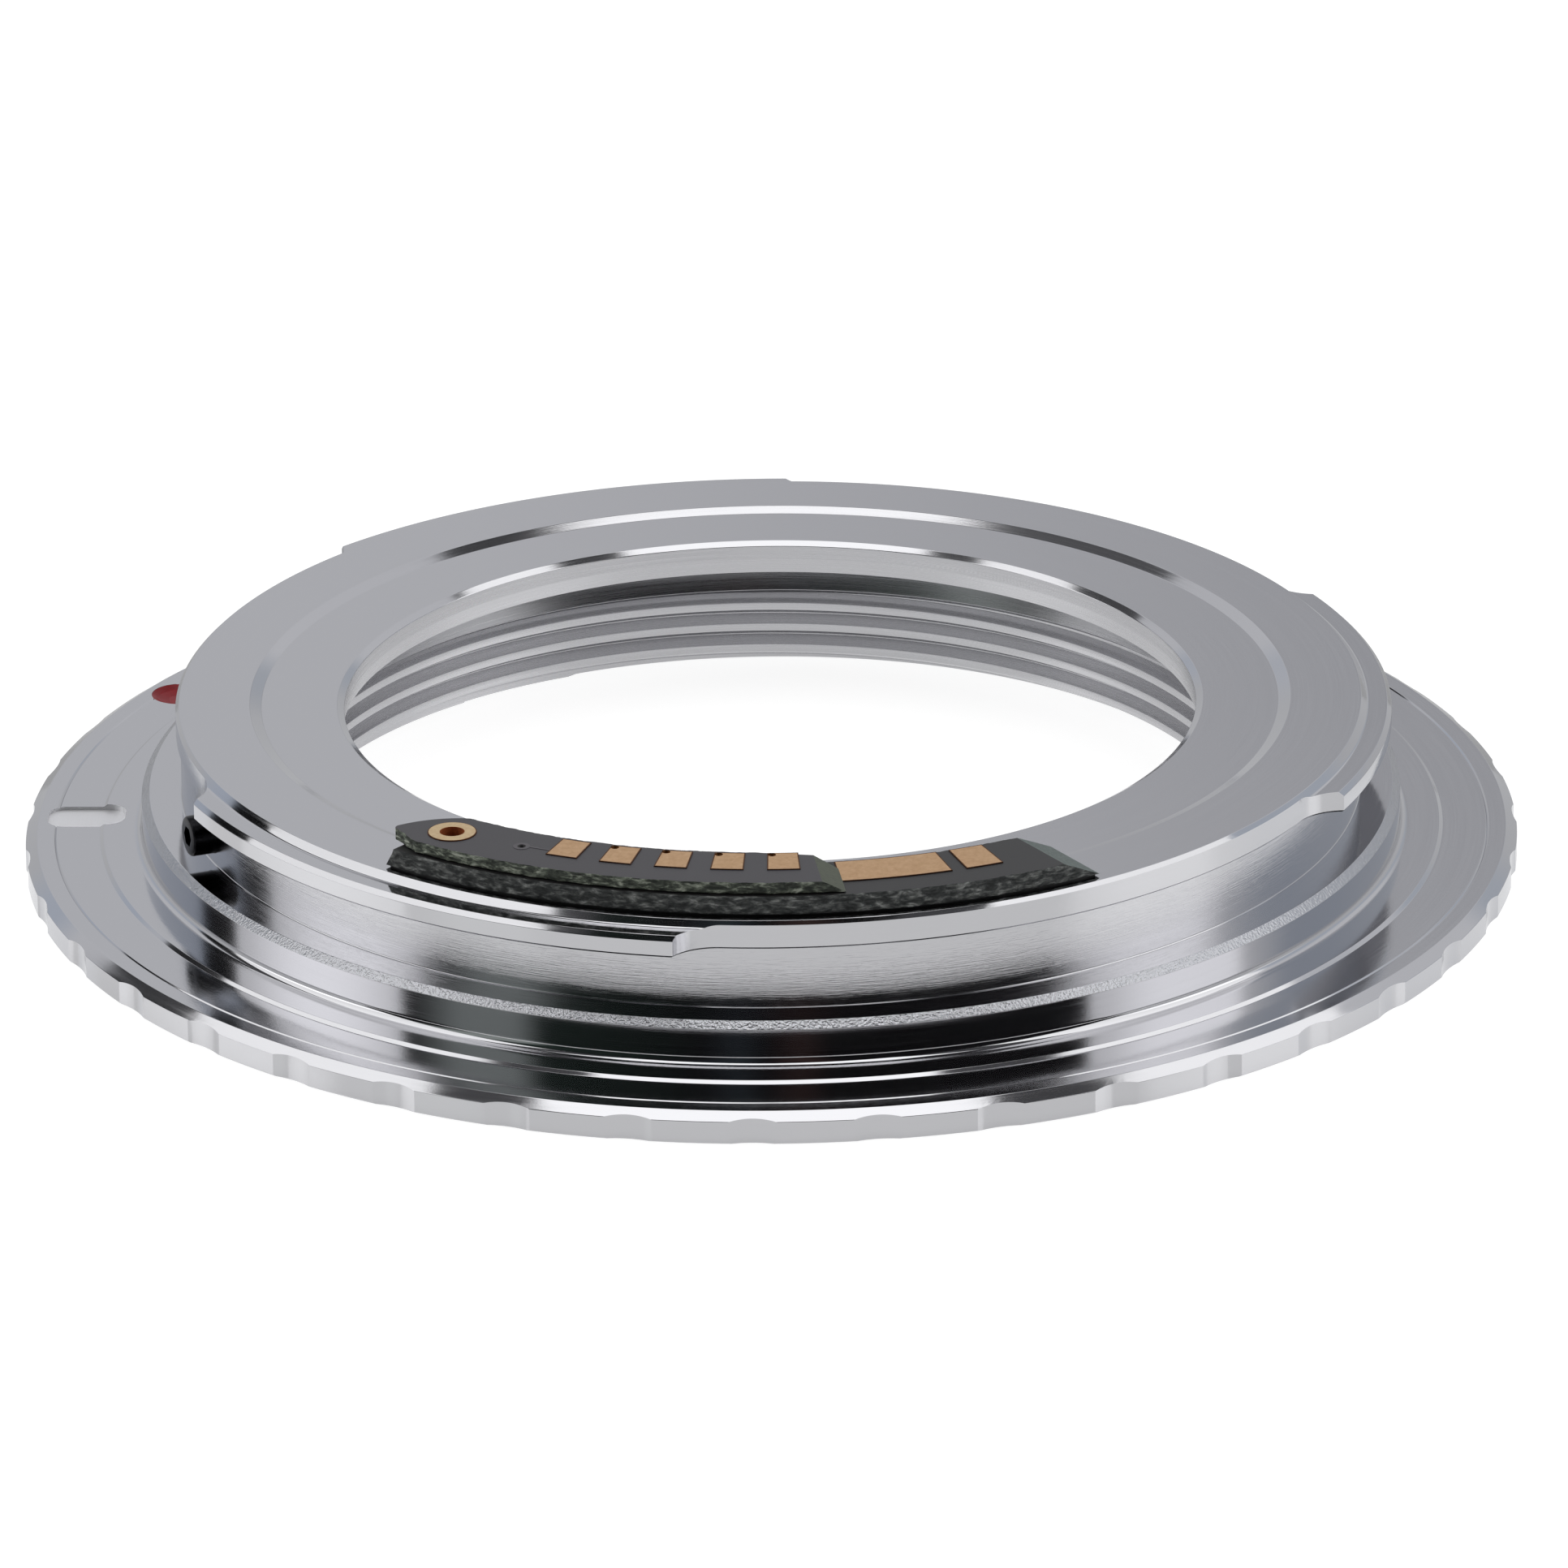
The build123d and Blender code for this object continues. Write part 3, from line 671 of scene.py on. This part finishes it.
bpy.ops.mesh.bisect(plane_co=(0, 0, thread_foot * MM), plane_no=(0, 0, 1), clear_inner=True)
bpy.ops.mesh.select_all(action="SELECT")
bpy.ops.mesh.normals_make_consistent(inside=False)
bpy.ops.object.mode_set(mode="OBJECT")
thread.data.materials.append(chrome_thread)
bpy.ops.object.shade_smooth_by_angle(angle=math.radians(40))
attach(thread, "root")
print("thread faces", len(thread.data.polygons))

# %% [markdown]
# ## Contact board laminate
# The two boards are glass-fibre laminate under a dark grey solder mask. Where they were cut out, the sawn
# edge shows the cloth inside: dark resin with pale torn bundles of glass, about half a millimetre long
# and a fifth high. The bevelled ends were scraped down through the layers, so they are flatter and more
# olive. The mask is a thin varnish with a soft gloss.

# %% Laminate materials
def varied_surface(name, tones, grain, roughness, bump_depth, metallic=0.0, detail=4.0):
    """A surface whose tone follows noise. Tones are pairs of noise level and colour, grain is the noise's
    size in mm, alike in all directions or as three sizes."""
    material = bpy.data.materials.new(name)
    material.use_nodes = True
    tree = material.node_tree
    shader = tree.nodes["Principled BSDF"]
    shader.inputs["Metallic"].default_value = metallic
    shader.inputs["Roughness"].default_value = roughness
    sizes = grain if isinstance(grain, tuple) else (grain, grain, grain)
    place = add_node(tree, "ShaderNodeTexCoord")
    stretch = add_node(tree, "ShaderNodeMapping", {"Scale": [1 / (size * MM) for size in sizes]},
                       {"Vector": place.outputs["Object"]})
    cloud = add_node(tree, "ShaderNodeTexNoise", links={"Vector": stretch.outputs[0]},
                     values={"Scale": 1.0, "Detail": detail, "Roughness": 0.6, "Distortion": 0.4})
    ramp = add_node(tree, "ShaderNodeValToRGB", links={"Fac": cloud.outputs["Fac"]}, stops=tones)
    tree.links.new(ramp.outputs["Color"], shader.inputs["Base Color"])
    bump = add_node(tree, "ShaderNodeBump", {"Strength": 1.0, "Distance": bump_depth * MM},
                    {"Height": cloud.outputs["Fac"]})
    tree.links.new(bump.outputs[0], shader.inputs["Normal"])
    return material


glass_bundles = (0.55, 0.55, 0.20)
upper_mask = varied_surface("solder_mask_grey", [(0.3, "#3A383C"), (0.7, "#403E42")], 0.08, 0.45, 0.0008)
lower_mask = varied_surface("solder_mask_dark_grey", [(0.3, "#1E1D1E"), (0.7, "#242324")], 0.08, 0.45, 0.0008)
sawn_tones = [(0.36, "#262828"), (0.48, "#444746"), (0.60, "#747674"), (0.74, "#B4B6B3")]
sawn_edge = varied_surface("sawn_glass_laminate", sawn_tones, glass_bundles, 0.75, 0.05, detail=3.0)
torn_tones = [(0.36, "#2B3029"), (0.48, "#4F554B"), (0.56, "#7F8678"), (0.68, "#C0C5B6")]
torn_edge = varied_surface("torn_glass_laminate", torn_tones, glass_bundles, 0.75, 0.05, detail=3.0)
scraped_olive = varied_surface("scraped_laminate_olive", [(0.35, "#464B3E"), (0.65, "#565C4C")],
                               (0.25, 0.05, 0.25), 0.6, 0.004)
scraped_grey = varied_surface("scraped_laminate_grey_green", [(0.35, "#4A5452"), (0.65, "#68736F")],
                              0.12, 0.6, 0.004)
print("board materials", upper_mask.name, sawn_edge.name, torn_edge.name)

# %% [markdown]
# ## The two boards
# Their outlines are right in the frame, but their edges are far too clean there. Each board is a copy of
# its frame mesh, with its loose triangles merged and its sides subdivided into a fine grid. The grid's
# points are then pushed sideways by noise, so that the edge is torn while the upper and lower faces stay
# flat.

# %% Helpers to copy and fray a board
def copy_node(node, name):
    """A copy of a frame node as a new object, its loose triangles merged back into whole faces."""
    piece = bpy.data.objects.new(name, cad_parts[node].data.copy())
    piece.data.name = name
    bpy.context.scene.collection.objects.link(piece)
    activate(piece)
    piece.data.materials.clear()
    bpy.ops.object.mode_set(mode="EDIT")
    bpy.ops.mesh.customdata_custom_splitnormals_clear()
    bpy.ops.mesh.select_all(action="SELECT")
    bpy.ops.mesh.remove_doubles(threshold=merge_distance)
    bpy.ops.mesh.dissolve_limited(angle_limit=math.radians(1))
    bpy.ops.object.mode_set(mode="OBJECT")
    return piece


def select_faces(piece, test):
    """Selects the faces that pass a test, and leaves the piece in edit mode."""
    bpy.ops.object.mode_set(mode="EDIT")
    bpy.ops.mesh.select_mode(type="FACE")
    bpy.ops.mesh.select_all(action="DESELECT")
    bpy.ops.object.mode_set(mode="OBJECT")
    for face in piece.data.polygons:
        face.select = test(face)
    bpy.ops.object.mode_set(mode="EDIT")


def fray(piece, depth, cuts):
    """Cuts a board's sides into a fine grid and pushes it in by noise, up to a depth in mm."""
    select_faces(piece, lambda face: abs(face.normal.z) < 0.2 and face.area > 0.3 * MM * MM)
    bpy.ops.mesh.subdivide(number_cuts=cuts)
    bpy.ops.object.mode_set(mode="OBJECT")
    pushes = {}
    for face in piece.data.polygons:
        if face.select:
            for corner in face.vertices:
                pushes.setdefault(corner, Vector((0, 0))).xy += face.normal.xy
    for corner, push in pushes.items():
        place = piece.data.vertices[corner].co
        coarse = noise.noise(Vector((place.x / 0.45, place.y / 0.45, place.z / 0.18)) / MM)
        fine = noise.noise(Vector((place.x / 0.14, place.y / 0.14, place.z / 0.08)) / MM)
        tear = -0.35 + 0.65 * coarse + 0.4 * fine
        place.xy += push.normalized() * depth * MM * max(tear, -1.0)


print("helpers", copy_node.__name__, select_faces.__name__, fray.__name__)

# %% Copy and fray the boards
lower = copy_node("lower_board", "lower_board_laminate")
fray(lower, 0.09, 13)
upper = copy_node("upper_board", "upper_board_laminate")
fray(upper, 0.08, 11)
board_finishes = {lower: (lower_mask, sawn_edge, scraped_grey), upper: (upper_mask, torn_edge, scraped_olive)}
for board, finishes in board_finishes.items():
    for material in finishes:
        board.data.materials.append(material)
    for face in board.data.polygons:
        face.material_index = 0 if abs(face.normal.z) > 0.98 else 2 if face.normal.z > 0.7 else 1
    node = board.name.replace("_laminate", "")
    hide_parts(node)
    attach(board, "root")
    print(board.name, len(board.data.polygons), "faces")

# %% [markdown]
# ## Gold pads
# The contacts are copper with a flash of gold: a warm satin tan, a little mottled, with a dark brown rim
# round the top and down the sides. A pad is a piece of a flat ring, so it is one radial edge spun through the
# pad's angle, extruded up by the thickness of the copper, with its upper face inset by a hair. The first pad
# is copied and turned to the others, and the ones with a plated-through hole get it from a Boolean.

# %% Pad materials
gold_tones = [(0.3, "#C79F75"), (0.7, "#D8B38A")]
flash_gold = varied_surface("flash_gold_on_copper", gold_tones, 0.25, 0.42, 0.0006, 1.0)
bare_copper = varied_surface("tarnished_copper", [(0.3, "#4A2A14"), (0.7, "#6B4222")], 0.1, 0.5, 0.001, 1.0)
copper_barrel = varied_surface("copper_oxide_in_hole", [(0.3, "#9A4E26"), (0.7, "#B4622F")], 0.1, 0.6, 0.001)
print("pad materials", flash_gold.name, bare_copper.name, copper_barrel.name)

# %% Spin a pad
dark_rim_width = 0.05


def sector_plate(name, inner, outer, start, end, bottom, top):
    """A flat plate between two radii and two heights in mm and two angles in degrees. Stays in edit mode with
    its upper face selected."""
    plate = draw_wire(name, [polar(inner, start, bottom), polar(outer, start, bottom)])
    spin_round(max(6, round(end - start)), math.radians(end - start))
    bpy.ops.mesh.select_all(action="SELECT")
    bpy.ops.mesh.extrude_region_move(TRANSFORM_OT_translate={"value": (0, 0, (top - bottom) * MM)})
    return plate


def sector_pad(node, inner, outer, start, end):
    """A gold pad with a dark brown rim, as high as its frame node."""
    bottom, top = [corner[2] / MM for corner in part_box(node)]
    pad = sector_plate(node + "_gold", inner, outer, start, end, bottom, top)
    bpy.ops.mesh.inset(thickness=dark_rim_width * MM, depth=0)
    bpy.ops.object.mode_set(mode="OBJECT")
    for material in (bare_copper, flash_gold):
        pad.data.materials.append(material)
    for face in pad.data.polygons:
        face.material_index = 1 if face.select else 0
    bpy.ops.object.mode_set(mode="EDIT")
    close_shell()
    return pad


pad_middle, pad_step, pad_width, pad_inner, pad_outer = 248.1, 5.78, 1.35, 21.90, 23.69
pad_half = math.degrees(pad_width / (pad_inner + pad_outer))
pad_start, pad_end = pad_middle - pad_half, pad_middle + pad_half
end_inner, end_outer = 21.75, 23.89
pads = {"contact_pad_1": sector_pad("contact_pad_1", pad_inner, pad_outer, pad_start, pad_end),
        "wide_contact_pad": sector_pad("wide_contact_pad", end_inner, end_outer, 276.9, 288.5),
        "small_contact_pad": sector_pad("small_contact_pad", end_inner, end_outer, 290.0, 294.0)}
print("first pads", list(pads))

# %% Drill one pad and copy it
def turned_copy(piece, name, angle):
    """A copy of a piece with its own mesh, turned round the ring's axis by an angle in degrees."""
    activate(piece)
    bpy.ops.object.duplicate(linked=False)
    copy = bpy.context.object
    copy.name = copy.data.name = name
    copy.rotation_euler.z = math.radians(angle)
    bpy.ops.object.transform_apply(location=False, rotation=True, scale=False)
    return copy


via_from_axis, via_offset, via_radius = 22.1, 0.46, 0.175
via_angle = pad_middle + pad_step - math.degrees(via_offset / via_from_axis)
pad_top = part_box("contact_pad_2")[1][2] / MM
drilled = turned_copy(pads["contact_pad_1"], "contact_pad_2_gold", pad_step)
bpy.ops.mesh.primitive_cylinder_add(vertices=32, radius=via_radius * MM, depth=MM,
                                    location=polar(via_from_axis, via_angle, pad_top))
drill = bpy.context.object
bpy.ops.object.transform_apply(location=True, rotation=True, scale=True)
drill.data.materials.append(bare_copper)
cut_away(drilled, drill)
pads["contact_pad_2"] = drilled
for count in (3, 4, 5):
    node = "contact_pad_%d" % count
    pads[node] = turned_copy(drilled, node + "_gold", pad_step * (count - 2))
for node, pad in pads.items():
    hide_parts(node)
    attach(pad, "root")
print("pads", len(pads))

# %% [markdown]
# ## Plated holes
# Four pads have a hole that goes on down through the board, lined with copper, and one more hole stands
# alone beside the first pad. Its copper ring and the trace that joins it to the pad lie under the mask,
# so all that shows of them is a low ridge. The board already has its holes, so they only need a lining.
# The ridges are a small outline spun round the hole and a thin plate.

# %% Line the board's holes
lone_hole = polar(23.29, 243.2)
holes = [polar(via_from_axis, via_angle + pad_step * k) for k in range(4)] + [lone_hole]
upper.data.materials.append(bare_copper)
upper.data.materials.append(lower_mask)
for face in upper.data.polygons:
    nearest = min(holes, key=lambda hole: (face.center.xy - hole.xy).length)
    if (face.center.xy - nearest.xy).length < 0.2 * MM:
        # the lone hole is filled with mask, and its lining takes the lower board's darker mask as painted
        # shade in the hole; the pads' holes show their copper
        face.material_index = 4 if nearest == lone_hole else 3
print("copper faces", sum(face.material_index == 3 for face in upper.data.polygons))

# %% Ring and trace of the lone hole
board_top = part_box("upper_board")[1][2] / MM
land_inner, land_outer, land_top = 0.18, 0.36, board_top + 0.015
trace_start, trace_from_axis, trace_half = 244.05, 23.2, 0.05
masked_tones = [(0.3, "#484449"), (0.7, "#504B50")]
masked_copper = varied_surface("solder_mask_over_copper", masked_tones, 0.08, 0.4, 0.0008)
land_corners = [(land_inner, board_top, 0.0), (land_outer, board_top, 0.0), (land_outer, land_top, 0.005),
                (land_inner, land_top, 0.005)]
land_outline = rounded_outline(land_corners, hold=0.003)
land = spun_piece("masked_copper_land", land_outline + land_outline[:1], 48, lone_hole)
trace = sector_plate("masked_copper_trace", trace_from_axis - trace_half, trace_from_axis + trace_half,
                     trace_start, pad_start, board_top, land_top)
close_shell()
for piece in (land, trace):
    piece.data.materials.append(masked_copper)
    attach(piece, "root")
print("masked copper faces", len(land.data.polygons) + len(trace.data.polygons))

# %% [markdown]
# ## Eyelet
# The rounded end of the upper board has a plated eyelet: a barrel through the board with a flat collar on
# top, pale gold on the collar and oxidised copper inside. The frame's eyelet has few sides, so it is spun
# again from its outline, with its edges broken.

# %% Spin the eyelet
eyelet_low, eyelet_high = [Vector(corner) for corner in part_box("eyelet")]
eyelet_centre = (eyelet_low + eyelet_high) / 2
eyelet_foot, eyelet_top = eyelet_low.z / MM, eyelet_high.z / MM
eyelet_hole, barrel_radius, collar_radius, collar_flat = 0.525, 0.625, 1.045, 0.99
eyelet_corners = [
    (eyelet_hole, eyelet_foot, 0.01), (barrel_radius, eyelet_foot, 0.01), (barrel_radius, board_top, 0.005),
    (collar_radius, board_top, 0.005), (collar_radius, eyelet_top - 0.01, 0.005),
    (collar_flat, eyelet_top, 0.01), (eyelet_hole, eyelet_top, 0.02)]
eyelet_outline = rounded_outline(eyelet_corners, hold=0.005)
eyelet_place = (eyelet_centre.x, eyelet_centre.y, 0)
eyelet = spun_piece("plated_eyelet", eyelet_outline + eyelet_outline[:1], 72, eyelet_place)
pale_gold = varied_surface("flash_gold_pale", [(0.3, "#D6B88C"), (0.7, "#E3CBA2")], 0.2, 0.4, 0.0006, 1.0)
for material in (pale_gold, bare_copper, copper_barrel):
    eyelet.data.materials.append(material)
for face in eyelet.data.polygons:
    out = (face.center - eyelet_centre).xy.length / MM
    face.material_index = 2 if out < eyelet_hole + 0.005 else 0 if out < 1.0 and face.normal.z > 0.7 else 1
bpy.ops.object.shade_smooth_by_angle(angle=math.radians(16))
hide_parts("eyelet")
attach(eyelet, "root")
print("eyelet faces", len(eyelet.data.polygons))

# %% [markdown]
# ## Index dot
# A camera's user lines the lens up with a red dot. It is a drop of enamel in a drilled dimple. The enamel
# draws up the wall as it dries, so it is a shallow cup and not a flat disc. Its outline is spun like the
# ring's.

# %% Fill the dimple with enamel
cup_radius, coat, cup_edge = dot_radius / MM, 0.05, flange_z - 0.01
cup_corners = [
    (cup_radius, dimple_floor, 0.0), (cup_radius, cup_edge, 0.01), (cup_radius - 0.03, cup_edge, 0.01),
    (cup_radius - 0.3, flange_z - 0.16, 0.12), (cup_radius - 0.75, dimple_floor + coat, 0.3),
    (0.0, dimple_floor + coat, 0.0), (0.0, dimple_floor, 0.0)]
cup_place = (dot_centre.x, dot_centre.y, 0)
enamel = spun_piece("red_index_enamel", rounded_outline(cup_corners, hold=0.01), 96, cup_place)
red_enamel = varied_surface("red_enamel", [(0.3, "#86181F"), (0.7, "#961E26")], 0.4, 0.3, 0.0006)
# brushed enamel dries with less shine than the varnish on a board
red_enamel.node_tree.nodes["Principled BSDF"].inputs["Specular IOR Level"].default_value = 0.15
enamel.data.materials.append(red_enamel)
bpy.ops.object.shade_smooth_by_angle(angle=math.radians(30))
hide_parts("index_dot")
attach(enamel, "root")
print("enamel faces", len(enamel.data.polygons))

# %% [markdown]
# ## Stop screw
# The black set screw under the left tab's end stops the bayonet's turn. It is a cylinder with a bevelled
# end and a hexagon socket, lying along a radius of the ring. The socket is a six-sided cutter, taken away
# by a Boolean.

# %% Turn the stop screw
screw_end = neck_radius + screw_reach
bpy.ops.object.select_all(action="DESELECT")
bpy.ops.mesh.primitive_cylinder_add(vertices=64, radius=screw_radius * MM, depth=screw_length * MM,
                                    location=polar(screw_end - screw_length / 2, screw_angle, screw_z),
                                    rotation=screw_turn)
screw = bpy.context.object
screw.name = screw.data.name = "black_stop_screw"
bpy.ops.object.transform_apply(location=True, rotation=True, scale=True)
outwards = polar(1.0, screw_angle).normalized()
select_edges(screw, lambda a, b: min(a.dot(outwards), b.dot(outwards)) > (screw_end - 0.01) * MM)
bpy.ops.mesh.bevel(offset=0.15 * MM, segments=3, affect="EDGES")
bpy.ops.object.mode_set(mode="OBJECT")
print("screw faces before the socket", len(screw.data.polygons))

# %% Cut its socket
socket_depth, socket_flats = 1.0, 0.8
bpy.ops.mesh.primitive_cylinder_add(vertices=6, radius=socket_flats / math.sqrt(3) * MM,
                                    depth=2 * socket_depth * MM, rotation=screw_turn,
                                    location=polar(screw_end, screw_angle, screw_z))
key = bpy.context.object
bpy.ops.object.transform_apply(location=True, rotation=True, scale=True)
black_oxide = varied_surface("black_oxide_steel", [(0.3, "#151517"), (0.7, "#222225")], 0.15, 0.3, 0.001, 1.0)
for piece in (screw, key):
    piece.data.materials.append(black_oxide)
cut_away(screw, key)
bpy.ops.object.shade_smooth_by_angle(angle=math.radians(25))
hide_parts("stop_screw")
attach(screw, "root")
print("screw faces", len(screw.data.polygons))

# %% [markdown]
# ## Glue and chip
# The glue films under and between the boards and the chip in its window keep their frame shapes, because
# almost nothing of them shows. They still get their own materials: a dark glue with a soft gloss and a
# fine matt moulding resin.

# %% Dress the hidden nodes
chip_resin = varied_surface("moulded_chip_resin", [(0.3, "#1A1A1B"), (0.7, "#232325")], 0.05, 0.6, 0.002)
glue_film = varied_surface("dark_glue_film", [(0.3, "#0D0E0E"), (0.7, "#171818")], 0.2, 0.5, 0.004)
for name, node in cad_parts.items():
    node.data.materials.clear()
    node.data.materials.append(chip_resin if name == "controller_chip" else glue_film)
print("frame nodes dressed", len(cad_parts))
